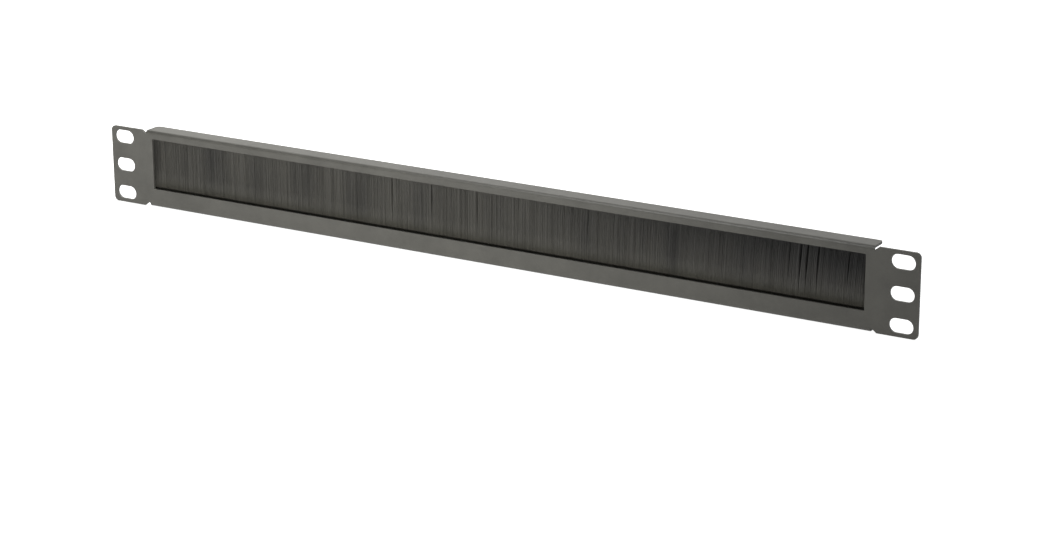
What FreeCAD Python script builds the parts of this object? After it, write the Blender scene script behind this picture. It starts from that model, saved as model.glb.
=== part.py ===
import FreeCAD, Part
import os

import Sketcher

# A brush panel for a 19 inch rack, one unit high, in millimetres.
# +X runs along the panel, the front looks along -Y and +Z is up.
# The origin is the middle of the slot pattern, on the rear face of the ears,
# which is the face that meets the rack rails.

# Driving dimensions: name, millimetres (or a count) and meaning
SIZES = [
    # Folded steel panel
    ("panel_width", 482.6, "Panel: overall width over both ears"),
    ("panel_height", 43.0, "Panel: overall height"),
    ("sheet_thickness", 1.2, "Panel: thickness of the steel sheet"),
    ("bend_inside_radius", 0.7, "Panel: inside radius of both folds"),
    ("flange_depth", 11.0, "Panel: front face to the back edge of a flange"),
    ("flange_corner_radius", 2.0, "Panel: rounded back corners of a flange"),
    ("ear_width", 21.35, "Panel: width of an ear, up to the relief notch"),
    ("relief_width", 2.5, "Panel: mouth of the relief notch between flange and ear"),
    ("relief_slant", 2.3, "Panel: run of the notch's slanted side"),
    ("ear_corner_radius", 2.5, "Panel: outer corners of the ears"),
    ("window_side", 4.15, "Window: flange end to the side of the window"),
    ("window_head", 4.45, "Window: height of the bar above it"),
    ("window_sill", 10.2, "Window: height of the bar below it"),
    ("window_corner_radius", 0.6, "Window: corner radius"),
    # Mounting slots in the ears
    ("slot_inset", 8.75, "Slots: side edge of the panel to the middle of a slot"),
    ("slot_pitch", 15.875, "Slots: centre to centre up the ear"),
    ("slot_length", 12.6, "Slots: length over the round ends"),
    ("slot_width", 7.4, "Slots: width"),
    # Extruded rail that holds the brush
    ("rail_setback", 0.5, "Rail: how far it stops inside each flange end"),
    ("rail_gap", 0.2, "Rail: gap behind the panel"),
    ("rail_wall", 0.8, "Rail: thickness of its side walls"),
    ("rail_base", 1.6, "Rail: thickness of its base"),
    ("rail_lip", 0.9, "Rail: thickness of the lips over the channel"),
    ("rail_lip_gap", 0.2, "Rail: gap between a lip and the filaments"),
    ("recess_width", 3.45, "Rail: width of the recess for the rivet tails"),
    ("recess_depth", 1.2, "Rail: depth of the recess for the rivet tails"),
    # Crimped steel channel and core wire of the brush
    ("channel_setback", 0.5, "Channel: how far it stops inside each rail end"),
    ("channel_width", 5.2, "Channel: outer width at its foot"),
    ("channel_mouth", 4.2, "Channel: outer width at its crimped mouth"),
    ("channel_height", 4.8, "Channel: height"),
    ("channel_wall", 0.5, "Channel: thickness of its strip"),
    ("channel_inside_radius", 0.2, "Channel: inside radius of its folds"),
    ("channel_play", 0.1, "Channel: play in the rail on each side and above"),
    ("wire_diameter", 1.2, "Core wire: diameter"),
    ("wire_rise", 1.1, "Core wire: filaments folded under it"),
    ("wire_setback", 1.0, "Core wire: how far it stops inside each channel end"),
    # Curtain of filaments
    ("bristle_setback", 0.25, "Bristles: how far they stop inside each channel end"),
    ("bristle_thickness", 6.2, "Bristles: thickness of the open curtain"),
    ("bristle_flare", 1.55, "Bristles: height over which they spread above the rail"),
    ("bristle_tip_gap", 1.7, "Bristles: gap between their tips and the top flange"),
    ("bristle_play", 0.1, "Bristles: play in the channel and round the wire"),
    ("ridge_pitch", 2.0, "Bristles: pitch of the upright ridges"),
    ("ridge_depth", 0.45, "Bristles: depth of the hollows between the ridges"),
    # Countersunk rivets from below
    ("rivet_count", 5, "Rivets: how many"),
    ("rivet_margin", 21.25, "Rivets: rail end to the middle of the first rivet"),
    ("rivet_diameter", 2.4, "Rivets: shank diameter"),
    ("rivet_land", 0.2, "Rivets: straight rest of the hole above the countersink"),
    ("rivet_tail_diameter", 3.3, "Rivets: diameter of the formed tail"),
    ("rivet_tail_height", 0.9, "Rivets: height of the formed tail"),
    ("rivet_play", 0.05, "Rivets: play in the holes"),
]

DOC = FreeCAD.newDocument("rack_brush_strip_panel")


class Size:
    """A length and the expression that ties it to the sheet, so that a sum of sizes stays tied."""

    def __init__(self, value, text):
        self.value = float(value)
        self.text = text

    def __add__(self, other):
        other = as_size(other)
        return Size(self.value + other.value, f"({self.text} + {other.text})")

    def __sub__(self, other):
        other = as_size(other)
        return Size(self.value - other.value, f"({self.text} - {other.text})")

    def __mul__(self, factor):
        return Size(self.value * factor, f"({self.text} * {factor})")

    def __truediv__(self, divisor):
        return Size(self.value / divisor, f"({self.text} / {divisor})")

    def __neg__(self):
        return Size(-self.value, f"(-1 * {self.text})")


def as_size(number):
    return number if isinstance(number, Size) else Size(number, str(number))


def make_sheet():
    """Fill the sheet of driving dimensions, and return them by name."""
    sheet = DOC.addObject("Spreadsheet::Sheet", "sizes")
    for row, (name, value, meaning) in enumerate(SIZES, start=1):
        sheet.set(f"A{row}", meaning)
        sheet.set(f"B{row}", str(value))
        sheet.setAlias(f"B{row}", name)
    DOC.recompute()
    return {name: Size(value, f"sizes.{name}") for name, value, meaning in SIZES}


SIZE = make_sheet()


# Places that several pieces share

HALF_WIDTH = SIZE["panel_width"] / 2
HALF_HEIGHT = SIZE["panel_height"] / 2
FRONT_FACE = -SIZE["sheet_thickness"]
BEND_OUTSIDE_RADIUS = SIZE["bend_inside_radius"] + SIZE["sheet_thickness"]
FLANGE_BACK = FRONT_FACE + SIZE["flange_depth"]
EAR_START = HALF_WIDTH - SIZE["ear_width"]
FLANGE_END = EAR_START - SIZE["relief_width"]
FLANGE_FLOOR = -HALF_HEIGHT + SIZE["sheet_thickness"]
FLANGE_CEILING = HALF_HEIGHT - SIZE["sheet_thickness"]

RAIL_END = FLANGE_END - SIZE["rail_setback"]
CHANNEL_END = RAIL_END - SIZE["channel_setback"]
BRISTLE_END = CHANNEL_END - SIZE["bristle_setback"]

GROOVE_HALF_WIDTH = SIZE["channel_width"] / 2 + SIZE["channel_play"]
RAIL_FRONT = SIZE["rail_gap"]
BRUSH_MIDDLE = RAIL_FRONT + SIZE["rail_wall"] + GROOVE_HALF_WIDTH
RAIL_BACK = BRUSH_MIDDLE + GROOVE_HALF_WIDTH + SIZE["rail_wall"]
RECESS_FLOOR = FLANGE_FLOOR + SIZE["rail_base"]
CHANNEL_SEAT = RECESS_FLOOR + SIZE["recess_depth"]
CHANNEL_TOP = CHANNEL_SEAT + SIZE["channel_height"]
GROOVE_TOP = CHANNEL_TOP + SIZE["channel_play"]
RAIL_TOP = GROOVE_TOP + SIZE["rail_lip"]

BRISTLE_FOOT = CHANNEL_SEAT + SIZE["channel_wall"] + SIZE["bristle_play"]
NECK_HALF_WIDTH = SIZE["channel_mouth"] / 2 - SIZE["channel_wall"] - SIZE["bristle_play"]
BRISTLE_HALF_THICKNESS = SIZE["bristle_thickness"] / 2
BRISTLE_TIP = FLANGE_CEILING - SIZE["bristle_tip_gap"]
WIRE_MIDDLE = BRISTLE_FOOT + SIZE["wire_rise"] + SIZE["wire_diameter"] / 2

RIVET_RADIUS = SIZE["rivet_diameter"] / 2
COUNTERSINK_DEPTH = SIZE["sheet_thickness"] - SIZE["rivet_land"]
RIVET_HOLE_RADIUS = RIVET_RADIUS + SIZE["rivet_play"]


# Modelling helpers

def bind(target, name, size):
    """Give a property its size, and keep it tied to the sheet."""
    target.setExpression(name, as_size(size).text)


def new_body(name):
    body = DOC.addObject("PartDesign::Body", name)
    body.Label = name
    return body


def new_sketch(body, name, plane_role, offset=None):
    """Start a sketch on one of the body's own origin planes, moved along its normal by offset."""
    plane = next(item for item in body.Origin.OriginFeatures if item.Role == plane_role)
    sketch = body.newObject("Sketcher::SketchObject", name)
    sketch.AttachmentSupport = [(plane, "")]
    sketch.MapMode = "FlatFace"
    if offset is not None:
        bind(sketch, "AttachmentOffset.Base.z", offset)
    return sketch


def constrain(sketch, kind, *arguments):
    """Add a dimension whose last argument is a size, and tie it to the sheet."""
    size = as_size(arguments[-1])
    index = sketch.addConstraint(Sketcher.Constraint(kind, *arguments[:-1], size.value))
    bind(sketch, f"Constraints[{index}]", size)


def place_point(sketch, geometry, point, across, up):
    """Fix one point of a sketch by its two distances from the sketch's origin."""
    for kind, axis, distance in (("DistanceX", -2, across), ("DistanceY", -1, up)):
        if as_size(distance).value == 0:
            sketch.addConstraint(Sketcher.Constraint("PointOnObject", geometry, point, axis))
        else:
            constrain(sketch, kind, -1, 1, geometry, point, distance)


def draw_outline(sketch, corners):
    """Draw a closed outline of straight lines through corners given as pairs of sizes."""
    corners = [(as_size(across), as_size(up)) for across, up in corners]
    first = sketch.GeometryCount
    count = len(corners)
    ends = corners[1:] + corners[:1]
    for (across, up), (next_across, next_up) in zip(corners, ends):
        start = FreeCAD.Vector(across.value, up.value, 0)
        end = FreeCAD.Vector(next_across.value, next_up.value, 0)
        sketch.addGeometry(Part.LineSegment(start, end))
    for step in range(count):
        line = first + step
        next_line = first + (step + 1) % count
        sketch.addConstraint(Sketcher.Constraint("Coincident", line, 2, next_line, 1))
    for step, (across, up) in enumerate(corners):
        place_point(sketch, first + step, 1, across, up)


def draw_circle(sketch, across, up, radius):
    centre = FreeCAD.Vector(as_size(across).value, as_size(up).value, 0)
    circle = sketch.addGeometry(Part.Circle(centre, FreeCAD.Vector(0, 0, 1), radius.value))
    place_point(sketch, circle, 3, across, up)
    constrain(sketch, "Radius", circle, radius)


def draw_slot(sketch, across, up, length, width):
    """Draw a level slot with round ends about its middle."""
    half_run = (length - width) / 2
    radius = width / 2
    left = FreeCAD.Vector((across - half_run).value, as_size(up).value, 0)
    right = FreeCAD.Vector((across + half_run).value, as_size(up).value, 0)
    rise = FreeCAD.Vector(0, radius.value, 0)
    reach = FreeCAD.Vector(radius.value, 0, 0)
    left_arc = sketch.addGeometry(Part.Arc(left + rise, left - reach, left - rise))
    right_arc = sketch.addGeometry(Part.Arc(right - rise, right + reach, right + rise))
    lower_line = sketch.addGeometry(Part.LineSegment(left - rise, right - rise))
    upper_line = sketch.addGeometry(Part.LineSegment(right + rise, left + rise))
    for line, start_arc, end_arc in ((lower_line, left_arc, right_arc), (upper_line, right_arc, left_arc)):
        sketch.addConstraint(Sketcher.Constraint("Tangent", start_arc, 2, line, 1))
        sketch.addConstraint(Sketcher.Constraint("Tangent", line, 2, end_arc, 1))
    place_point(sketch, left_arc, 3, across - half_run, up)
    place_point(sketch, right_arc, 3, across + half_run, up)
    constrain(sketch, "Radius", left_arc, radius)
    constrain(sketch, "Radius", right_arc, radius)


def pad(body, name, sketch, length, side="One side"):
    feature = body.newObject("PartDesign::Pad", name)
    feature.Profile = sketch
    feature.SideType = side
    bind(feature, "Length", length)
    DOC.recompute()
    return feature


def pocket_through(body, name, sketch, side="One side", upward=False):
    """Cut a sketch through all that lies behind it, or on both sides of it."""
    before = body.Shape.Volume
    feature = body.newObject("PartDesign::Pocket", name)
    feature.Profile = sketch
    feature.SideType = side
    feature.Type = "ThroughAll"
    feature.Reversed = upward
    DOC.recompute()
    if not feature.Shape.Volume < before:
        raise ValueError(f"{name} cuts nothing")
    return feature


def straight_edges(feature, direction, spots):
    """Name the edges that run along direction through one of the spots, given as x, y, z values."""
    names = []
    for index, edge in enumerate(feature.Shape.Edges, start=1):
        if not isinstance(edge.Curve, Part.Line):
            continue
        if edge.tangentAt(edge.FirstParameter).cross(direction).Length > 1e-6:
            continue
        for spot in spots:
            across = edge.CenterOfMass - FreeCAD.Vector(*spot)
            if across.cross(direction).Length < 1e-4:
                names.append(f"Edge{index}")
    return names


def dress_edges(body, kind, name, edges, size):
    """Round the named edges of the body's last feature, or break them at 45 degrees."""
    base = body.Tip
    if not edges:
        raise ValueError(f"{name} finds no edge")
    feature = body.newObject(f"PartDesign::{kind}", name)
    feature.Base = (base, edges)
    bind(feature, "Radius" if kind == "Fillet" else "Size", size)
    DOC.recompute()
    return feature


ALONG_X = FreeCAD.Vector(1, 0, 0)
ALONG_Y = FreeCAD.Vector(0, 1, 0)
ALONG_Z = FreeCAD.Vector(0, 0, 1)


def rivet_places():
    """Give the places of the rivets along the panel, spread evenly over the rail."""
    count = int(SIZE["rivet_count"].value)
    last = RAIL_END - SIZE["rivet_margin"]
    return [last * (2 * index / (count - 1) - 1) for index in range(count)]


def cut_rivet_holes(body, name):
    """Drill a body's foot for the rivets, downwards from the level of the origin."""
    sketch = new_sketch(body, f"{name}_sketch", "XY_Plane")
    for place in rivet_places():
        draw_circle(sketch, place, BRUSH_MIDDLE, RIVET_HOLE_RADIUS)
    return pocket_through(body, name, sketch)


# Folded steel panel

def fold_flanges(body):
    """Make the folded section, a flat web with a flange turned back at the top and the bottom."""
    section = new_sketch(body, "folded_section", "YZ_Plane")
    draw_outline(section, [
        (FRONT_FACE, -HALF_HEIGHT),
        (FLANGE_BACK, -HALF_HEIGHT),
        (FLANGE_BACK, FLANGE_FLOOR),
        (0, FLANGE_FLOOR),
        (0, FLANGE_CEILING),
        (FLANGE_BACK, FLANGE_CEILING),
        (FLANGE_BACK, HALF_HEIGHT),
        (FRONT_FACE, HALF_HEIGHT),
    ])
    folded = pad(body, "folded_web", section, FLANGE_END * 2, "Symmetric")

    outside = [(0, FRONT_FACE.value, side * HALF_HEIGHT.value) for side in (-1, 1)]
    inside = [(0, 0, level.value) for level in (FLANGE_FLOOR, FLANGE_CEILING)]
    dress_edges(body, "Fillet", "outside_bends", straight_edges(folded, ALONG_X, outside), BEND_OUTSIDE_RADIUS)
    dress_edges(body, "Fillet", "inside_bends", straight_edges(body.Tip, ALONG_X, inside),
                SIZE["bend_inside_radius"])

    corners = [(side * FLANGE_END.value, FLANGE_BACK.value, 0) for side in (-1, 1)]
    dress_edges(body, "Fillet", "flange_corners", straight_edges(body.Tip, ALONG_Z, corners),
                SIZE["flange_corner_radius"])


def add_ears(body):
    """Add the flat sheet that carries the ears, necked by the relief notches at the flange ends."""
    neck = HALF_HEIGHT - BEND_OUTSIDE_RADIUS
    notch_end = EAR_START - SIZE["relief_slant"]
    upper_half = [
        (HALF_WIDTH, HALF_HEIGHT),
        (EAR_START, HALF_HEIGHT),
        (notch_end, neck),
        (-notch_end, neck),
        (-EAR_START, HALF_HEIGHT),
        (-HALF_WIDTH, HALF_HEIGHT),
    ]
    lower_half = [(across, -up) for across, up in reversed(upper_half)]
    sketch = new_sketch(body, "ear_outline", "XZ_Plane")
    draw_outline(sketch, upper_half + lower_half)
    sheet = pad(body, "ear_sheet", sketch, SIZE["sheet_thickness"])

    corners = [(side * HALF_WIDTH.value, 0, level * HALF_HEIGHT.value) for side in (-1, 1) for level in (-1, 1)]
    dress_edges(body, "Fillet", "ear_corners", straight_edges(sheet, ALONG_Y, corners), SIZE["ear_corner_radius"])


def cut_window(body):
    sill = -HALF_HEIGHT + SIZE["window_sill"]
    head = HALF_HEIGHT - SIZE["window_head"]
    side = FLANGE_END - SIZE["window_side"]
    sketch = new_sketch(body, "window_outline", "XZ_Plane")
    draw_outline(sketch, [(-side, sill), (side, sill), (side, head), (-side, head)])
    window = pocket_through(body, "window", sketch, "Symmetric")

    corners = [(hand * side.value, 0, level.value) for hand in (-1, 1) for level in (sill, head)]
    dress_edges(body, "Fillet", "window_corners", straight_edges(window, ALONG_Y, corners),
                SIZE["window_corner_radius"])


def cut_slots(body):
    """Cut the three mounting slots of each ear."""
    across = HALF_WIDTH - SIZE["slot_inset"]
    sketch = new_sketch(body, "slot_outlines", "XZ_Plane")
    for hand in (-1, 1):
        for level in (-1, 0, 1):
            up = SIZE["slot_pitch"] * level if level else 0
            draw_slot(sketch, across * hand, up, SIZE["slot_length"], SIZE["slot_width"])
    pocket_through(body, "mounting_slots", sketch, "Symmetric")


def countersink_rivet_holes(body):
    holes = cut_rivet_holes(body, "rivet_holes")
    rims = []
    for index, edge in enumerate(holes.Shape.Edges, start=1):
        round_rim = isinstance(edge.Curve, Part.Circle)
        if round_rim and abs(edge.BoundBox.ZMin + HALF_HEIGHT.value) + edge.BoundBox.ZLength < 1e-4:
            rims.append(f"Edge{index}")
    dress_edges(body, "Chamfer", "rivet_countersinks", rims, COUNTERSINK_DEPTH)


def make_front_panel():
    body = new_body("front_panel")
    fold_flanges(body)
    add_ears(body)
    cut_window(body)
    cut_slots(body)
    countersink_rivet_holes(body)
    return body


# Extruded rail on the bottom flange

def make_brush_rail():
    """Extrude the rail: a groove with lips for the channel, over a recess for the rivet tails."""
    body = new_body("brush_rail")
    recess = SIZE["recess_width"] / 2
    mouth = NECK_HALF_WIDTH + SIZE["rail_lip_gap"]
    corner = SIZE["bend_inside_radius"] + SIZE["rail_gap"]
    groove_outline = [
        (mouth, RAIL_TOP),
        (mouth, GROOVE_TOP),
        (GROOVE_HALF_WIDTH, GROOVE_TOP),
        (GROOVE_HALF_WIDTH, CHANNEL_SEAT),
        (recess, CHANNEL_SEAT),
        (recess, RECESS_FLOOR),
    ]
    rear_side = [(BRUSH_MIDDLE + across, up) for across, up in groove_outline]
    front_side = [(BRUSH_MIDDLE - across, up) for across, up in reversed(groove_outline)]
    section = new_sketch(body, "rail_section", "YZ_Plane")
    draw_outline(section, [
        (RAIL_FRONT + corner, FLANGE_FLOOR),
        (RAIL_BACK - corner, FLANGE_FLOOR),
        (RAIL_BACK, FLANGE_FLOOR + corner),
        (RAIL_BACK, RAIL_TOP),
        *rear_side,
        *front_side,
        (RAIL_FRONT, RAIL_TOP),
        (RAIL_FRONT, FLANGE_FLOOR + corner),
    ])
    pad(body, "rail_extrusion", section, RAIL_END * 2, "Symmetric")
    cut_rivet_holes(body, "rail_rivet_holes")
    return body


# Crimped channel, core wire and filaments of the brush

def make_brush_channel():
    """Fold the channel, with its walls leaning in to the crimped mouth."""
    body = new_body("brush_channel")
    foot = SIZE["channel_width"] / 2
    mouth = SIZE["channel_mouth"] / 2
    wall = SIZE["channel_wall"]
    section = new_sketch(body, "channel_section", "YZ_Plane")
    draw_outline(section, [
        (BRUSH_MIDDLE - foot, CHANNEL_SEAT),
        (BRUSH_MIDDLE + foot, CHANNEL_SEAT),
        (BRUSH_MIDDLE + mouth, CHANNEL_TOP),
        (BRUSH_MIDDLE + mouth - wall, CHANNEL_TOP),
        (BRUSH_MIDDLE + foot - wall, CHANNEL_SEAT + wall),
        (BRUSH_MIDDLE - foot + wall, CHANNEL_SEAT + wall),
        (BRUSH_MIDDLE - mouth + wall, CHANNEL_TOP),
        (BRUSH_MIDDLE - mouth, CHANNEL_TOP),
    ])
    strip = pad(body, "channel_strip", section, CHANNEL_END * 2, "Symmetric")

    middle = BRUSH_MIDDLE.value
    outside = [(0, middle + hand * foot.value, CHANNEL_SEAT.value) for hand in (-1, 1)]
    inside = [(0, middle + hand * (foot - wall).value, (CHANNEL_SEAT + wall).value) for hand in (-1, 1)]
    dress_edges(body, "Fillet", "channel_outside_bends", straight_edges(strip, ALONG_X, outside),
                SIZE["channel_inside_radius"] + wall)
    dress_edges(body, "Fillet", "channel_inside_bends", straight_edges(body.Tip, ALONG_X, inside),
                SIZE["channel_inside_radius"])
    return body


def make_core_wire():
    body = new_body("core_wire")
    section = new_sketch(body, "wire_section", "YZ_Plane")
    draw_circle(section, BRUSH_MIDDLE, WIRE_MIDDLE, SIZE["wire_diameter"] / 2)
    pad(body, "wire", section, (CHANNEL_END - SIZE["wire_setback"]) * 2, "Symmetric")
    return body


def make_bristles():
    """Make the curtain: folded round the wire, held in the channel, spread above it and ridged."""
    body = new_body("bristles")
    foot = SIZE["channel_width"] / 2 - SIZE["channel_wall"] - SIZE["bristle_play"]
    round_off = SIZE["channel_inside_radius"]
    spread_top = RAIL_TOP + SIZE["bristle_flare"]
    half_outline = [
        (foot - round_off, BRISTLE_FOOT),
        (foot, BRISTLE_FOOT + round_off),
        (NECK_HALF_WIDTH, CHANNEL_TOP),
        (NECK_HALF_WIDTH, RAIL_TOP),
        (BRISTLE_HALF_THICKNESS, spread_top),
        (BRISTLE_HALF_THICKNESS, BRISTLE_TIP),
    ]
    rear_side = [(BRUSH_MIDDLE + across, up) for across, up in half_outline]
    front_side = [(BRUSH_MIDDLE - across, up) for across, up in reversed(half_outline)]
    section = new_sketch(body, "bristle_section", "YZ_Plane")
    draw_outline(section, rear_side + front_side)
    pad(body, "curtain", section, BRISTLE_END * 2, "Symmetric")

    bore = new_sketch(body, "wire_bore_outline", "YZ_Plane")
    draw_circle(bore, BRUSH_MIDDLE, WIRE_MIDDLE, SIZE["wire_diameter"] / 2 + SIZE["bristle_play"])
    pocket_through(body, "wire_bore", bore, "Symmetric")

    ridge_count = int(BRISTLE_END.value * 2 / SIZE["ridge_pitch"].value)
    last_hollow = SIZE["ridge_pitch"] * ((ridge_count - 1) / 2)
    half_pitch = SIZE["ridge_pitch"] / 2
    hollows = new_sketch(body, "hollow_outlines", "XY_Plane", RAIL_TOP)
    for hand in (-1, 1):
        face = BRUSH_MIDDLE + BRISTLE_HALF_THICKNESS * hand
        bottom = BRUSH_MIDDLE + (BRISTLE_HALF_THICKNESS - SIZE["ridge_depth"]) * hand
        draw_outline(hollows, [
            (-last_hollow - half_pitch, face),
            (-last_hollow, bottom),
            (-last_hollow + half_pitch, face),
        ])
    first_hollow = pocket_through(body, "first_hollow", hollows, upward=True)

    pattern = body.newObject("PartDesign::LinearPattern", "ridges")
    pattern.Originals = [first_hollow]
    pattern.Direction = (hollows, ["H_Axis"])
    pattern.Mode = "Extent"
    bind(pattern, "Length", last_hollow * 2)
    pattern.Occurrences = ridge_count
    body.Tip = pattern
    DOC.recompute()
    return body


# Rivets that fix the rail from below

def make_rail_rivets():
    """Turn one rivet, with its flush head, shank and formed tail, and repeat it along the rail."""
    body = new_body("rail_rivets")
    places = rivet_places()
    head_radius = RIVET_RADIUS + COUNTERSINK_DEPTH
    tail_radius = SIZE["rivet_tail_diameter"] / 2
    tail_top = RECESS_FLOOR + SIZE["rivet_tail_height"]
    profile = new_sketch(body, "rivet_profile", "XZ_Plane", -BRUSH_MIDDLE)
    bind(profile, "AttachmentOffset.Base.x", places[0])
    draw_outline(profile, [
        (0, -HALF_HEIGHT),
        (head_radius, -HALF_HEIGHT),
        (RIVET_RADIUS, -HALF_HEIGHT + COUNTERSINK_DEPTH),
        (RIVET_RADIUS, RECESS_FLOOR),
        (tail_radius, RECESS_FLOOR),
        (tail_radius, tail_top),
        (0, tail_top),
    ])
    rivet = body.newObject("PartDesign::Revolution", "rivet")
    rivet.Profile = profile
    rivet.ReferenceAxis = (profile, ["V_Axis"])
    rivet.Angle = 360
    DOC.recompute()

    row = body.newObject("PartDesign::LinearPattern", "rivet_row")
    row.Originals = [rivet]
    row.Direction = (profile, ["H_Axis"])
    row.Mode = "Extent"
    bind(row, "Length", places[-1] - places[0])
    row.Occurrences = len(places)
    body.Tip = row
    DOC.recompute()
    return body


def check_document(pieces):
    """Stop if a feature failed, or a piece has no sound shape."""
    for item in DOC.Objects:
        if "Invalid" in item.State or "Error" in item.State:
            raise ValueError(f"{item.Name} is {item.State}")
    for piece in pieces:
        if piece.Shape.isNull() or not piece.Shape.isValid():
            raise ValueError(f"{piece.Label} has no valid shape")


def main():
    pieces = [
        make_front_panel(),
        make_brush_rail(),
        make_brush_channel(),
        make_core_wire(),
        make_bristles(),
        make_rail_rivets(),
    ]
    check_document(pieces)
    os.makedirs("parts", exist_ok=True)
    for piece in pieces:
        piece.Shape.exportStep(os.path.join("parts", f"{piece.Label}.step"))
        print(f"{piece.Label}: {len(piece.Shape.Solids)} solids, {piece.Shape.Volume:.1f} mm3")


main()
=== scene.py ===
import math

import bpy
from mathutils import Matrix, Vector


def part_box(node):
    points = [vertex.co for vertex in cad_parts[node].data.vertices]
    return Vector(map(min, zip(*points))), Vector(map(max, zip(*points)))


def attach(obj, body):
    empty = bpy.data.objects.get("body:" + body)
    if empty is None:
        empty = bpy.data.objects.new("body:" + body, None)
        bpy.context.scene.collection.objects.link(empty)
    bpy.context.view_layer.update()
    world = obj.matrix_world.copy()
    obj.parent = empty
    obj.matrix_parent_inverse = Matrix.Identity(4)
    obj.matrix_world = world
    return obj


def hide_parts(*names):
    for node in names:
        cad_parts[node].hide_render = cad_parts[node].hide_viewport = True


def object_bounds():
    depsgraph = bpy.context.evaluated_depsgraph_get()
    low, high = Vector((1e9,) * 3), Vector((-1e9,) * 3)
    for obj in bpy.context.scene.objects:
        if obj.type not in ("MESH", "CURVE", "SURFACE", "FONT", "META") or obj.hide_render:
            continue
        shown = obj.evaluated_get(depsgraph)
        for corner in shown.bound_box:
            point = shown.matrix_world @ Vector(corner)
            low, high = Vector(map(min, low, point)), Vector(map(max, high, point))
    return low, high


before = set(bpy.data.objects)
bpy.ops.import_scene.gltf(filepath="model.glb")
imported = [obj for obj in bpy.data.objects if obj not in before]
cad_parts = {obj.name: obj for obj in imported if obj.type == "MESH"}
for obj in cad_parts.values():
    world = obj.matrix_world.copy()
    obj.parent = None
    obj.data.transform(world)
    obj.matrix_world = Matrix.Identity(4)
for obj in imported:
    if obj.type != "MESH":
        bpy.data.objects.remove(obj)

CAD_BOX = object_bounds()
MM = 0.001
WHITE = (1, 1, 1, 1)

# Photograph's view of the panel
AIM = Vector((28.45, -1.2, -24.86)) * MM
CAMERA_DISTANCE = 1425.89 * MM
CAMERA_AZIMUTH = 30.90
CAMERA_ELEVATION = 17.63
CAMERA_ROLL = -0.24
CAMERA_LENS = 94.71

# Brush: its lengths, each with its own seed, and the rows of filaments in them
BRUSH_LENGTHS = 5
SEED_STEP = 17
FILAMENT_ROWS = 12
FILAMENT_PITCH = 0.24 * MM
FILAMENT_DIAMETER = 0.24 * MM

# Inside of the channel, and the heights above the rail at which the filaments leave it and have spread
CHANNEL_HALF_DEPTH = 1.75 * MM
NECK_HALF_DEPTH = 1.5 * MM
NECK_RISE = 0.65 * MM
SPREAD_RISE = 1.4 * MM

# Room left inside the solid curtain, and at the sides also in front of the flange's back edge
FOOT_CLEARANCE = 0.5 * MM
TIP_CLEARANCE = 0.3 * MM
SIDE_CLEARANCE = 0.1 * MM

# Places along the brush, in metres from its middle, where each of these begins and is complete:
# tips pushed back and painted in shade, painted shade on the tufts at both ends beside the window's sides,
# and filaments shorter at the window's right side
PUSH_START, PUSH_END = -0.02, 0.205
PAINTED_END_SHADE_START, PAINTED_END_SHADE_STOP = 0.2085, 0.2130
CORNER_START, CORNER_STOP = 0.2110, 0.2122

# Places where the brush has parted, each with its share of the full opening;
# the front rows open most, the middle ones by about a tenth, and the rear ones not at all
PARTINGS = (
    (0.2028, 0.7), (0.1868, 0.7), (0.1810, 0.8), (0.1776, 0.9), (0.1718, 0.5),
    (0.0600, 0.5), (-0.0050, 0.7), (-0.0325, 0.7), (-0.0570, 0.8),
)
PARTING_FADE = 1.8
PARTING_MIDDLE = 0.1

# Smooth random waves: how fast each changes along and through the brush, its offset and its detail
WAVES = {
    "lean": (190.0, 1.6, 3.1, 1.5),
    "bow": (260.0, 1.2, 8.4, 1.5),
    "swell": (330.0, 0.0, 1.9, 1.5),
    "tuft": (60.0, 0.4, 5.7, 3.0),
    "drift": (60.0, 0.4, 12.6, 3.0),
}

# What each filament draws for itself; the seed of a draw follows from its place in this row
DRAWS = ("place", "row", "lean", "bow", "shade", "tip", "turn")

# Jitter along and through the brush, as shares of the pitch
PLACE_JITTER = 0.3
ROW_JITTER = 0.2
# A filament's own bow, as a share of the brush's
STRAY_BOW = 0.5

# Shade of a filament, from 0 for darkest to 1 for lightest: the plain shade, the filament's own part,
# what its tuft adds and takes away, and how far it drifts along the filament
PLAIN_SHADE = 0.62
STRAY_SHADE = 0.02
TUFT_LIGHT = 0.42
TUFT_DARK = 1.1
DRIFT = 0.5

# Levels of a filament, from below: foot, wire, neck, spread, two along its free length, and tip
FILAMENT_LEVELS = 7
# Under the wire the feet draw in to this share of their depth beside it
FOOT_SHARE = 0.7
# Shades at the foot, the wire and the neck; the dark neck is painted shade, the shadow line along the
# window's lower edge, and the foot and wire hardly show
FOOT_WIRE_AND_PAINTED_NECK_SHADES = (0.1, 0.1, 0.28)
# From the spread to the tip: a plain shade, then shares of the filament's own shade, of the painted shade on
# pushed-back tips, and of drift; the spread level is painted lighter against the shade near the window's
# lower edge, and lighter still where pushed back
OPEN_SHADES_WITH_PAINTED_LIGHT_AND_SHADE = (
    # Spread level: painted light against the shade near the window's lower edge
    (0.56, 0.4, 0.1, -0.3),
    (0.0, 1.0, -0.33, -0.25),
    (0.0, 1.0, -0.8, 0.25),
    (0.24, 0.6, -1.0, 0.4),
)
# Shares that the three levels above the spread have of each; the tip has a height of its own
FREE_RISE = (0.33, 0.67)
FREE_LEAN = (0.33, 0.67, 1.0)
FREE_BOW = (1.0, 1.0, 0.0)
FREE_PARTING = (0.35, 1.0, 0.5)
FREE_PUSH = (0.11, 0.44, 1.0)


# Helpers for node trees

def add_node(tree, kind, inputs=None, **settings):
    """Add a node with its settings and inputs."""
    node = tree.nodes.new(kind)
    for name, value in settings.items():
        setattr(node, name, value)
    for name, value in (inputs or {}).items():
        set_input(tree, node.inputs[name], value)
    return node


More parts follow.
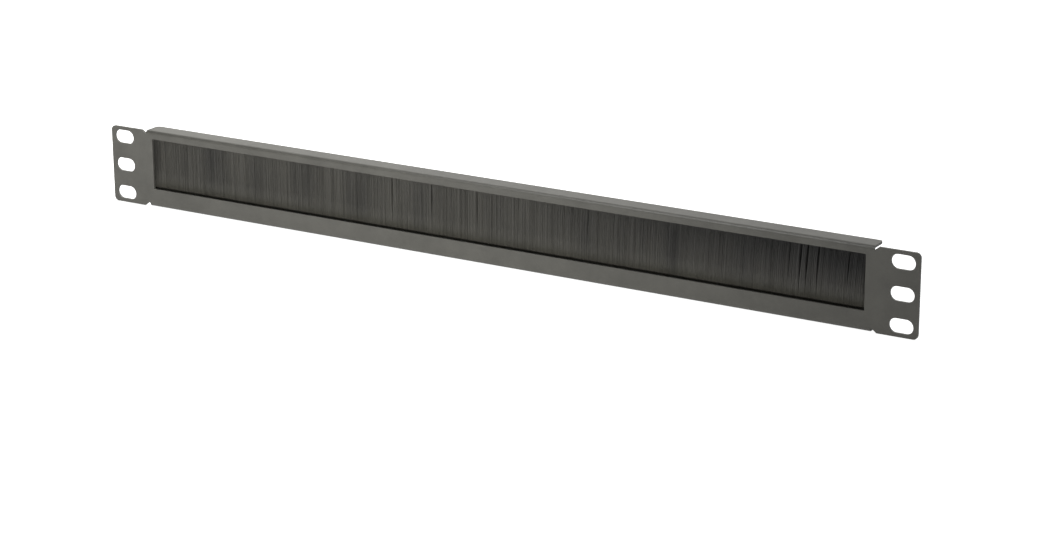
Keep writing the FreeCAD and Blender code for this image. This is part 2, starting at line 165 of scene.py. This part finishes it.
def set_input(tree, socket, value):
    """Give an input a value, or join it to another node's output."""
    if isinstance(value, bpy.types.NodeSocket):
        tree.links.new(value, socket)
    else:
        socket.default_value = value


def math_node(tree, operation, first, second=0.0):
    node = add_node(tree, "ShaderNodeMath", {0: first, 1: second}, operation=operation)
    return node.outputs[0]


def scaled_between(tree, factor, low, high):
    """Spread a factor from 0 to 1 over the range from low to high."""
    node = add_node(tree, "ShaderNodeMapRange", {"Value": factor, "To Min": low, "To Max": high})
    return node.outputs["Result"]


class Finish:
    """A material with one Principled shader, whose patterns lie on the object's own coordinates."""

    def __init__(self, name, **shader_inputs):
        self.material = bpy.data.materials.new(name)
        self.material.use_nodes = True
        self.tree = self.material.node_tree
        self.shader = self.tree.nodes["Principled BSDF"]
        for socket, value in shader_inputs.items():
            self.shader.inputs[socket.replace("_", " ")].default_value = value
        self.place = add_node(self.tree, "ShaderNodeTexCoord").outputs["Object"]

    def stretched(self, x, y, z):
        """Give coordinates that are finer or coarser along the axes."""
        inputs = {"Vector": self.place, "Scale": (x, y, z)}
        return add_node(self.tree, "ShaderNodeMapping", inputs).outputs["Vector"]

    def noise(self, scale, detail=2.0, vector=None, rough=0.5):
        inputs = {"Vector": vector or self.place, "Scale": scale, "Detail": detail, "Roughness": rough}
        return add_node(self.tree, "ShaderNodeTexNoise", inputs).outputs["Fac"]

    def colour(self, factor, dark, light, low=0.3, high=0.7):
        """Colour the surface from dark to light as the factor goes from low to high."""
        ramp = add_node(self.tree, "ShaderNodeValToRGB", {"Fac": factor})
        for stop, place, shade in zip(ramp.color_ramp.elements, (low, high), (dark, light)):
            stop.position = place
            stop.color = (*shade, 1)
        self.tree.links.new(ramp.outputs["Color"], self.shader.inputs["Base Color"])

    def roughness(self, factor, low, high):
        self.tree.links.new(scaled_between(self.tree, factor, low, high), self.shader.inputs["Roughness"])

    def bump(self, *layers):
        """Raise the surface by one or more patterns, each with the height of its relief in metres."""
        normal = None
        for height, relief in layers:
            inputs = {"Height": height, "Distance": relief, "Strength": 1.0}
            if normal:
                inputs["Normal"] = normal
            normal = add_node(self.tree, "ShaderNodeBump", inputs).outputs["Normal"]
        self.tree.links.new(normal, self.shader.inputs["Normal"])


# Finishes of the pieces

def powder_coat():
    """Satin black powder coat: faint clouds, orange peel and a fine grain."""
    finish = Finish("black_powder_coat")
    clouds = finish.noise(45.0, 5.0, rough=0.75)
    peel = finish.noise(620.0, 1.5)
    grain = finish.noise(4200.0, 2.0)
    finish.colour(clouds, (0.0705, 0.0688, 0.0606), (0.0887, 0.0864, 0.0762), 0.35, 0.65)
    finish.roughness(grain, 0.42, 0.56)
    finish.bump((peel, 0.02 * MM), (grain, 0.004 * MM))
    return finish.material


def anodised_aluminium():
    """Black anodised extrusion, with its die lines running along the rail."""
    finish = Finish("black_anodised_aluminium", Metallic=0.6)
    die_lines = finish.noise(1.0, 3.0, finish.stretched(3.0, 2600.0, 2600.0))
    clouds = finish.noise(60.0, 2.0)
    finish.colour(clouds, (0.022, 0.022, 0.025), (0.034, 0.034, 0.037))
    finish.roughness(die_lines, 0.34, 0.5)
    finish.bump((die_lines, 0.01 * MM))
    return finish.material


def galvanised_steel():
    """Zinc coated strip with small dull spangles."""
    finish = Finish("galvanised_steel", Metallic=1.0)
    spangle = add_node(finish.tree, "ShaderNodeTexVoronoi", {"Vector": finish.place, "Scale": 700.0})
    rolled = finish.noise(1.0, 2.0, finish.stretched(20.0, 1800.0, 1800.0))
    finish.colour(spangle.outputs["Color"], (0.40, 0.41, 0.42), (0.60, 0.61, 0.62), 0.1, 0.9)
    finish.roughness(rolled, 0.32, 0.5)
    finish.bump((rolled, 0.006 * MM))
    return finish.material


def drawn_wire():
    """Bright steel wire with the lines that its die drew along it."""
    finish = Finish("steel_wire", Metallic=1.0)
    lines = finish.noise(1.0, 2.0, finish.stretched(12.0, 4000.0, 4000.0))
    finish.colour(lines, (0.38, 0.38, 0.39), (0.55, 0.55, 0.56))
    finish.roughness(lines, 0.25, 0.42)
    finish.bump((lines, 0.004 * MM))
    return finish.material


def nylon_filament():
    """Black nylon: each filament has its own shade, with painted shade and painted light in it, and a
    slightly uneven drawn surface.
    """
    finish = Finish("black_nylon", Specular_IOR_Level=0.9)
    shade = add_node(finish.tree, "ShaderNodeAttribute", attribute_name="shade").outputs["Fac"]
    drawn = finish.noise(1.0, 2.0, finish.stretched(2500.0, 2500.0, 160.0))
    finish.colour(shade, (0.004, 0.0039, 0.0033), (0.0790, 0.0755, 0.0625), 0.0, 1.0)
    finish.roughness(drawn, 0.38, 0.48)
    finish.bump((drawn, 0.004 * MM))
    return finish.material


def blackened_rivet_steel():
    """Blackened steel rivets with a lightly mottled, hammered face."""
    finish = Finish("blackened_rivet_steel", Metallic=0.7)
    mottle = finish.noise(900.0, 3.0)
    hammered = add_node(finish.tree, "ShaderNodeTexVoronoi", {"Vector": finish.place, "Scale": 1500.0},
                        feature="SMOOTH_F1")
    finish.colour(mottle, (0.035, 0.035, 0.036), (0.075, 0.074, 0.072))
    finish.roughness(mottle, 0.32, 0.52)
    finish.bump((hammered.outputs["Distance"], 0.02 * MM))
    return finish.material


def finish_node(name, material):
    """Give a CAD node its finish."""
    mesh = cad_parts[name].data
    mesh.materials.clear()
    mesh.materials.append(material)


# Brush filaments, grown by Geometry Nodes

FILAMENT_INPUTS = {
    "NodeSocketFloat": (
        "Start", "Length", "Diameter", "Middle",
        "Foot height", "Wire height", "Neck height", "Spread height", "Tip height", "Tip unevenness",
        "Wire half depth", "Foot half depth", "Neck half depth", "Open half depth", "Rear limit",
        "Lean", "Stray lean", "Bow", "Swell", "Turn", "Stray turn",
        # The push and end dimmings are painted shade, on the pushed-back tips and at the brush's ends
        "Push", "Push start", "Push end", "Push painted shade",
        "End start", "End stop", "End painted shade",
        "Corner start", "Corner stop", "Corner slant", "Corner drop",
        "Parting", "Parting reach",
    ),
    "NodeSocketInt": ("Columns", "Rows", "Seed"),
    "NodeSocketMaterial": ("Filament finish",),
}


class FilamentTree:
    """The node tree that grows one length of the brush."""

    def __init__(self):
        self.tree = bpy.data.node_groups.new("brush_filaments", "GeometryNodeTree")
        self.tree.is_modifier = True
        self.stored = set()
        self.sockets = {}
        for kind, names in FILAMENT_INPUTS.items():
            for name in names:
                self.sockets[name] = self.tree.interface.new_socket(name, in_out="INPUT", socket_type=kind)
        self.tree.interface.new_socket("Brush", in_out="OUTPUT", socket_type="NodeSocketGeometry")
        self.given = add_node(self.tree, "NodeGroupInput").outputs
        self.build()

    def node(self, kind, inputs=None, **settings):
        return add_node(self.tree, kind, inputs, **settings)

    def times(self, first, second):
        return math_node(self.tree, "MULTIPLY", first, second)

    def plus(self, first, second):
        return math_node(self.tree, "ADD", first, second)

    def minus(self, first, second):
        return math_node(self.tree, "SUBTRACT", first, second)

    def rising(self, value, start, stop, top=1.0):
        """Give 0 up to start and top from stop on, rising evenly between them."""
        inputs = {"Value": value, "From Min": start, "From Max": stop, "To Max": top}
        return self.node("ShaderNodeMapRange", inputs).outputs["Result"]

    def random(self, draw, reach):
        """Give each filament its own number within reach of zero."""
        step = DRAWS.index(draw) + 1
        seed = self.node("FunctionNodeIntegerMath", {0: self.given["Seed"], 1: step}, operation="ADD")
        node = self.node("FunctionNodeRandomValue", data_type="FLOAT")
        # The node also has sockets of these names for other kinds of number, which are switched off
        sockets = {socket.name: socket for socket in node.inputs if socket.enabled}
        set_input(self.tree, sockets["Min"], self.times(reach, -1.0))
        set_input(self.tree, sockets["Max"], reach)
        set_input(self.tree, sockets["Seed"], seed.outputs[0])
        return next(socket for socket in node.outputs if socket.enabled)

    def wave(self, name, place, row):
        """Give a smooth random number about zero that changes along and through the brush."""
        across, through, offset, detail = WAVES[name]
        vector = self.node("ShaderNodeCombineXYZ", {
            "X": self.times(place, across),
            "Y": self.times(row, through),
            "Z": offset,
        }).outputs[0]
        noise = self.node("ShaderNodeTexNoise", {"Vector": vector, "Scale": 1.0, "Detail": detail})
        return self.times(self.plus(noise.outputs["Fac"], -0.5), 2.0)

    def store(self, geometry, name, value):
        self.stored.add(name)
        inputs = {"Geometry": geometry, "Name": name, "Value": value}
        node = self.node("GeometryNodeStoreNamedAttribute", inputs, data_type="FLOAT")
        return node.outputs["Geometry"]

    def read(self, name):
        node = self.node("GeometryNodeInputNamedAttribute", {"Name": name}, data_type="FLOAT")
        return node.outputs["Attribute"]

    def position(self):
        """Give the x, y and z at which each point stands."""
        position = self.node("GeometryNodeInputPosition").outputs[0]
        return self.node("ShaderNodeSeparateXYZ", {0: position}).outputs

    def by_level(self, level, values):
        """Pick a value for each level of a filament, from its foot to its tip."""
        switch = self.node("GeometryNodeIndexSwitch", data_type="FLOAT")
        while len(switch.index_switch_items) < len(values):
            switch.index_switch_items.new()
        self.tree.links.new(level, switch.inputs["Index"])
        for index, value in enumerate(values):
            set_input(self.tree, switch.inputs[str(index)], value)
        return switch.outputs[0]

    def lay_out(self):
        """Set a point for each filament in jittered rows, between -0.5 in front and 0.5 behind."""
        given = self.given
        pitch = math_node(self.tree, "DIVIDE", given["Length"], given["Columns"])
        row_step = math_node(self.tree, "DIVIDE", 1.0, given["Rows"])
        grid = self.node("GeometryNodeMeshGrid", {
            "Size X": self.minus(given["Length"], pitch),
            "Size Y": self.minus(1.0, row_step),
            "Vertices X": given["Columns"],
            "Vertices Y": given["Rows"],
        })
        spot = self.position()
        centre = self.plus(given["Start"], self.times(given["Length"], 0.5))
        jitter = self.random("place", self.times(pitch, PLACE_JITTER))
        place = self.plus(self.plus(spot["X"], centre), jitter)
        row = self.plus(spot["Y"], self.random("row", self.times(row_step, ROW_JITTER)))
        points = self.store(grid.outputs["Mesh"], "place", place)
        return self.store(points, "row", row)

    def partings(self, place, row):
        """Push the front filaments apart on both sides of the few places where the brush has parted."""
        total = 0.0
        for middle, share in PARTINGS:
            away = math_node(self.tree, "DIVIDE", self.plus(place, -middle), self.given["Parting reach"])
            fading = math_node(self.tree, "POWER", math.e, self.times(self.times(away, away), -1.0))
            opening = self.times(math_node(self.tree, "SIGN", away), fading)
            total = self.plus(total, self.times(opening, share))
        front = self.plus(self.times(row, -PARTING_FADE), PARTING_MIDDLE)
        front = math_node(self.tree, "MAXIMUM", front)
        return self.times(self.times(total, front), self.given["Parting"])

    def own_shade(self, place, row):
        """Shade each filament by its tuft, with painted shade at both ends of the brush, beside the window's
        sides.
        """
        given = self.given
        tuft = self.wave("tuft", place, row)
        light, dark = self.times(tuft, TUFT_LIGHT), self.times(self.times(tuft, tuft), TUFT_DARK)
        shade = self.plus(self.minus(light, dark), self.random("shade", STRAY_SHADE))
        from_middle = math_node(self.tree, "ABSOLUTE", place)
        # Painted shade towards both ends of the brush, where the window's sides shade the tufts
        end = self.rising(from_middle, given["End start"], given["End stop"], given["End painted shade"])
        return self.minus(self.plus(shade, PLAIN_SHADE), end)

    def tip(self, place, row):
        """Trim the tips unevenly, and shorter at the window's right side, the rear ones most."""
        given = self.given
        slanted = self.plus(place, self.times(row, given["Corner slant"]))
        corner = self.rising(slanted, given["Corner start"], given["Corner stop"])
        shorter = self.times(corner, self.times(self.plus(row, 1.0), given["Corner drop"]))
        return self.minus(self.random("tip", given["Tip unevenness"]), shorter)

    def plant(self):
        """Lay out the filaments, with the numbers that shape and shade each one."""
        given = self.given
        points = self.lay_out()
        place, row = self.read("place"), self.read("row")
        lean = self.times(self.wave("lean", place, row), given["Lean"])
        bow = self.times(self.wave("bow", place, row), given["Bow"])
        numbers = {
            "lean": self.plus(lean, self.random("lean", given["Stray lean"])),
            "bow": self.plus(bow, self.random("bow", self.times(given["Bow"], STRAY_BOW))),
            "swell": self.times(self.wave("swell", place, row), given["Swell"]),
            "tip": self.tip(place, row),
            "push": self.rising(place, given["Push start"], given["Push end"]),
            "parted": self.partings(place, row),
            "turn": self.plus(self.random("turn", given["Stray turn"]), given["Turn"]),
            "drift": self.times(self.wave("drift", place, row), DRIFT),
            "shade": self.own_shade(place, row),
        }
        for name, value in numbers.items():
            points = self.store(points, name, value)
        return points

    def shade(self, level):
        """Shade each level: alike at the foot and wire, painted shade at the neck, and above it by the
        filament's shade, drift, painted shade on pushed-back tips and painted light at the spread.
        """
        own, drift = self.read("shade"), self.read("drift")
        # Painted shade on the pushed-back tips, darker towards the window's right side
        painted_tip_shade = self.times(own, self.times(self.read("push"), self.given["Push painted shade"]))
        shades = list(FOOT_WIRE_AND_PAINTED_NECK_SHADES)
        for plain, own_share, dimming, drifting in OPEN_SHADES_WITH_PAINTED_LIGHT_AND_SHADE:
            steady = self.plus(self.times(own, own_share), plain)
            change = self.plus(self.times(painted_tip_shade, dimming), self.times(drift, drifting))
            shades.append(self.plus(steady, change))
        return self.by_level(level, shades)

    def across(self, level):
        """Move each level along the brush, by the filament's lean and bow and away from a parting."""
        lean, bow, parted = self.read("lean"), self.read("bow"), self.read("parted")
        free = []
        for lean_share, bow_share, parting_share in zip(FREE_LEAN, FREE_BOW, FREE_PARTING):
            leaning = self.plus(self.times(lean, lean_share), self.times(bow, bow_share))
            free.append(self.plus(leaning, self.times(parted, parting_share)))
        return self.by_level(level, [0.0] * (FILAMENT_LEVELS - len(free)) + free)

    def depth(self, level):
        """Lead each level round the wire, through the channel's mouth and out to the open curtain."""
        given, row = self.given, self.read("row")
        side = math_node(self.tree, "SIGN", row)
        spread = self.times(row, 2.0)
        outward = self.times(math_node(self.tree, "ABSOLUTE", row), 2.0)
        room = self.minus(given["Foot half depth"], given["Wire half depth"])
        beside_wire = self.times(side, self.plus(given["Wire half depth"], self.times(outward, room)))
        open_depth = self.times(spread, self.plus(given["Open half depth"], self.read("swell")))
        push = self.times(self.read("push"), given["Push"])
        return self.by_level(level, [
            self.times(beside_wire, FOOT_SHARE),
            beside_wire,
            self.times(spread, given["Neck half depth"]),
            open_depth,
            *[self.plus(open_depth, self.times(push, share)) for share in FREE_PUSH],
        ])

    def height(self, level):
        """Raise each level to its height; only the tips differ from each other."""
        given = self.given
        free_length = self.minus(given["Tip height"], given["Spread height"])
        return self.by_level(level, [
            given["Foot height"], given["Wire height"], given["Neck height"], given["Spread height"],
            *[self.plus(given["Spread height"], self.times(free_length, share)) for share in FREE_RISE],
            self.plus(given["Tip height"], self.read("tip")),
        ])

    def build(self):
        """Stand a strand on each point, shade and shape its levels, and give it a three-sided section."""
        given = self.given
        line = self.node("GeometryNodeCurvePrimitiveLine", {"Start": (0, 0, 0), "End": (0, 0, 1)})
        strand = self.node("GeometryNodeResampleCurve", {"Curve": line.outputs[0], "Count": FILAMENT_LEVELS})
        planted = self.node("GeometryNodeInstanceOnPoints", {
            "Points": self.plant(),
            "Instance": strand.outputs[0],
        })
        strands = self.node("GeometryNodeRealizeInstances", {0: planted.outputs[0]}).outputs[0]

        rise = self.times(self.position()["Z"], FILAMENT_LEVELS - 1.0)
        level = self.node("FunctionNodeFloatToInt", {0: rise}, rounding_mode="ROUND").outputs[0]
        behind = self.plus(given["Middle"], self.depth(level))
        position = self.node("ShaderNodeCombineXYZ", {
            "X": self.plus(self.read("place"), self.across(level)),
            "Y": math_node(self.tree, "MINIMUM", behind, given["Rear limit"]),
            "Z": self.height(level),
        }).outputs[0]
        # A point's height tells its level, so the points are shaded before they are moved
        shaded = self.store(strands, "shade", self.shade(level))
        shaped = self.node("GeometryNodeSetPosition", {"Geometry": shaded, "Position": position})
        turned = self.node("GeometryNodeSetCurveTilt", {
            "Curve": shaped.outputs[0],
            "Tilt": self.read("turn"),
        })
        section = self.node("GeometryNodeCurvePrimitiveCircle", {
            "Resolution": 3,
            "Radius": self.times(given["Diameter"], 0.5),
        })
        filaments = self.node("GeometryNodeCurveToMesh", {
            "Curve": turned.outputs[0],
            "Profile Curve": section.outputs[0],
            "Fill Caps": True,
        })
        real = self.node("GeometryNodeRealizeInstances", {0: filaments.outputs[0]})
        black = self.node("GeometryNodeSetMaterial", {
            "Geometry": real.outputs[0],
            "Material": given["Filament finish"],
        })
        self.node("NodeGroupOutput", {0: black.outputs[0]})


def filament_settings(length, finish):
    """Set the brush's inputs, fitted to the solid that it stands for and the pieces round it."""
    low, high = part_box("bristles")
    wire_low, wire_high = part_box("core_wire")
    rail_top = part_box("brush_rail")[1].z
    flange_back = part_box("front_panel")[1].y
    radius = FILAMENT_DIAMETER / 2
    return {
        "Length": length,
        "Columns": round(length / FILAMENT_PITCH),
        "Rows": FILAMENT_ROWS,
        "Diameter": FILAMENT_DIAMETER,
        "Middle": (low.y + high.y) / 2,
        "Foot height": low.z + FOOT_CLEARANCE,
        "Wire height": (wire_low.z + wire_high.z) / 2,
        "Neck height": rail_top + NECK_RISE,
        "Spread height": rail_top + SPREAD_RISE,
        "Tip height": high.z - TIP_CLEARANCE,
        "Tip unevenness": 0.25 * MM,
        "Wire half depth": (wire_high.y - wire_low.y) / 2 + radius,
        "Foot half depth": CHANNEL_HALF_DEPTH - radius,
        "Neck half depth": NECK_HALF_DEPTH - radius,
        "Open half depth": (high.y - low.y) / 2 - radius - SIDE_CLEARANCE,
        "Rear limit": flange_back - radius - SIDE_CLEARANCE,
        "Lean": 0.9 * MM,
        "Stray lean": 0.06 * MM,
        "Bow": 0.09 * MM,
        "Swell": 0.15 * MM,
        "Turn": math.radians(30),
        "Stray turn": 0.05,
        "Push": 3.5 * MM,
        "Push start": PUSH_START,
        "Push end": PUSH_END,
        # Painted shade on the pushed-back tips
        "Push painted shade": 1.25,
        "End start": PAINTED_END_SHADE_START,
        "End stop": PAINTED_END_SHADE_STOP,
        # Painted shade on the tufts at both ends of the brush
        "End painted shade": 0.25,
        "Corner start": CORNER_START,
        "Corner stop": CORNER_STOP,
        "Corner slant": 3.5 * MM,
        "Corner drop": 2.1 * MM,
        "Parting": 0.8 * MM,
        "Parting reach": 1.5 * MM,
        "Filament finish": finish,
    }


def grow_brush(filament_tree, finish):
    """Grow the brush in a few lengths, which together stand for the CAD's solid curtain."""
    low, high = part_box("bristles")
    length = (high.x - low.x) / BRUSH_LENGTHS
    settings = filament_settings(length, finish)
    pieces = []
    for index in range(BRUSH_LENGTHS):
        piece = bpy.data.objects.new(f"filaments_{index + 1}", bpy.data.meshes.new("filaments"))
        bpy.context.scene.collection.objects.link(piece)
        grower = piece.modifiers.new("brush_filaments", "NODES")
        grower.node_group = filament_tree.tree
        own = {"Start": low.x + length * index, "Seed": SEED_STEP * (index + 1)}
        for name, value in {**settings, **own}.items():
            grower[filament_tree.sockets[name].identifier] = value
        pieces.append(piece)

    bpy.context.view_layer.update()
    depsgraph = bpy.context.evaluated_depsgraph_get()
    # The finish reads the shade, and the other numbers have done their work
    spent = filament_tree.stored - {"shade"}
    for piece in pieces:
        mesh = bpy.data.meshes.new_from_object(piece.evaluated_get(depsgraph))
        piece.modifiers.clear()
        piece.data = mesh
        for attribute in [item.name for item in mesh.attributes]:
            if attribute in spent:
                mesh.attributes.remove(mesh.attributes[attribute])
        mesh.shade_smooth()
        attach(piece, "root")
        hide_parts("bristles")


# Studio: camera, lamps, floor and backdrop

def place_camera():
    """Look at the panel as the photograph does."""
    azimuth, elevation = math.radians(CAMERA_AZIMUTH), math.radians(CAMERA_ELEVATION)
    back = Vector((
        math.sin(azimuth) * math.cos(elevation),
        -math.cos(azimuth) * math.cos(elevation),
        math.sin(elevation),
    ))
    right = Vector((0, 0, 1)).cross(back).normalized()
    up = back.cross(right)
    turn = Matrix.Rotation(math.radians(CAMERA_ROLL), 4, "Z")
    level = Matrix((right, up, back)).transposed().to_4x4()
    camera = bpy.data.objects.new("camera", bpy.data.cameras.new("camera"))
    camera.data.lens = CAMERA_LENS
    camera.data.sensor_width = 36.0
    camera.data.clip_end = 50.0
    camera.matrix_world = Matrix.Translation(AIM + back * CAMERA_DISTANCE) @ level @ turn
    bpy.context.scene.collection.objects.link(camera)
    bpy.context.scene.camera = camera


def add_softbox(name, place, aim, width, height, power, mirrored=False):
    """Hang a lamp that the camera doesn't see, to light the panel or, mirrored, to show only in its gloss."""
    lamp = bpy.data.lights.new(name, "AREA")
    lamp.shape = "RECTANGLE"
    lamp.size = width
    lamp.size_y = height
    lamp.energy = power
    softbox = bpy.data.objects.new(name, lamp)
    softbox.visible_camera = False
    softbox.visible_glossy = mirrored
    softbox.visible_diffuse = not mirrored
    facing = (Vector(aim) - Vector(place)).to_track_quat("-Z", "Y").to_matrix().to_4x4()
    softbox.matrix_world = Matrix.Translation(Vector(place)) @ facing
    bpy.context.scene.collection.objects.link(softbox)


def seen_directly(tree, path):
    """Give 1 for the camera's own rays and those that pass through glass, and 0 for all others."""
    return math_node(tree, "MAXIMUM", path["Is Camera Ray"], path["Is Transmission Ray"])


def mix_shaders(tree, factor, first, second):
    return add_node(tree, "ShaderNodeMixShader", {0: factor, 1: first.outputs[0], 2: second.outputs[0]})


def light_studio(fill, backdrop, room, room_edge=-0.3, backdrop_edge=0.5):
    """Light the panel softly all round, before white; it mirrors a bright backdrop and a dim room."""
    world = bpy.data.worlds.new("studio")
    bpy.context.scene.world = world
    world.use_nodes = True
    tree = world.node_tree
    tree.nodes.clear()
    path = add_node(tree, "ShaderNodeLightPath").outputs
    direction = add_node(tree, "ShaderNodeTexCoord").outputs["Generated"]
    behind = add_node(tree, "ShaderNodeSeparateXYZ", {0: direction}).outputs["Y"]
    mirrored = add_node(tree, "ShaderNodeMapRange", {
        "Value": behind, "From Min": room_edge, "From Max": backdrop_edge, "To Min": room, "To Max": backdrop,
    }).outputs["Result"]
    soft = add_node(tree, "ShaderNodeBackground", {"Color": WHITE, "Strength": fill})
    seen = add_node(tree, "ShaderNodeBackground", {"Color": WHITE, "Strength": mirrored})
    white = add_node(tree, "ShaderNodeBackground", {"Color": WHITE, "Strength": 1.0})
    indirect = mix_shaders(tree, path["Is Glossy Ray"], soft, seen)
    mixed = mix_shaders(tree, seen_directly(tree, path), indirect, white)
    add_node(tree, "ShaderNodeOutputWorld", {"Surface": mixed.outputs[0]})


def white_floor(bounce, mirrored, shadowed=0.3, glow=0.95):
    """White where it is seen, with a faint shadow; evenly bright in gloss, and bouncing some light."""
    material = bpy.data.materials.new("white_floor")
    material.use_nodes = True
    tree = material.node_tree
    tree.nodes.clear()
    path = add_node(tree, "ShaderNodeLightPath").outputs
    paint = add_node(tree, "ShaderNodeBsdfDiffuse", {"Color": (bounce, bounce, bounce, 1)})
    sheen = add_node(tree, "ShaderNodeEmission", {"Color": WHITE, "Strength": mirrored})
    shade = add_node(tree, "ShaderNodeBsdfDiffuse", {"Color": (shadowed, shadowed, shadowed, 1)})
    light = add_node(tree, "ShaderNodeEmission", {"Color": WHITE, "Strength": glow})
    seen = add_node(tree, "ShaderNodeAddShader", {0: shade.outputs[0], 1: light.outputs[0]})
    unseen = mix_shaders(tree, path["Is Glossy Ray"], paint, sheen)
    mixed = mix_shaders(tree, seen_directly(tree, path), unseen, seen)
    add_node(tree, "ShaderNodeOutputMaterial", {"Surface": mixed.outputs[0]})
    return material


def lay_floor(material, reach=6.0):
    """Lay the floor level with the panel's lower edge."""
    level = CAD_BOX[0][2]
    mesh = bpy.data.meshes.new("floor")
    corners = [(-reach, -reach, level), (reach, -reach, level), (reach, reach, level), (-reach, reach, level)]
    mesh.from_pydata(corners, [], [(0, 1, 2, 3)])
    mesh.materials.append(material)
    floor = bpy.data.objects.new("floor", mesh)
    bpy.context.scene.collection.objects.link(floor)


# Making the object

finish_node("front_panel", powder_coat())
finish_node("brush_rail", anodised_aluminium())
finish_node("brush_channel", galvanised_steel())
finish_node("core_wire", drawn_wire())
finish_node("rail_rivets", blackened_rivet_steel())
grow_brush(FilamentTree(), nylon_filament())

place_camera()
light_studio(fill=0.20, backdrop=1.0, room=0.05)
add_softbox("key_softbox", place=(0.0, -0.46, 0.06), aim=(-0.38, 0.0, 0.0),
            width=0.16, height=0.15, power=3.4)
add_softbox("rim_softbox", place=(-0.35, 0.60, 0.46), aim=(-0.60, 0.0, 0.0),
            width=0.60, height=0.15, power=24.0)
add_softbox("edge_softbox", place=(0.0, -0.165, 0.28), aim=(0.06, 0.0, 0.02),
            width=0.26, height=0.10, power=0.75, mirrored=True)
lay_floor(white_floor(bounce=0.35, mirrored=0.9))
bpy.context.scene.view_settings.view_transform = "Standard"
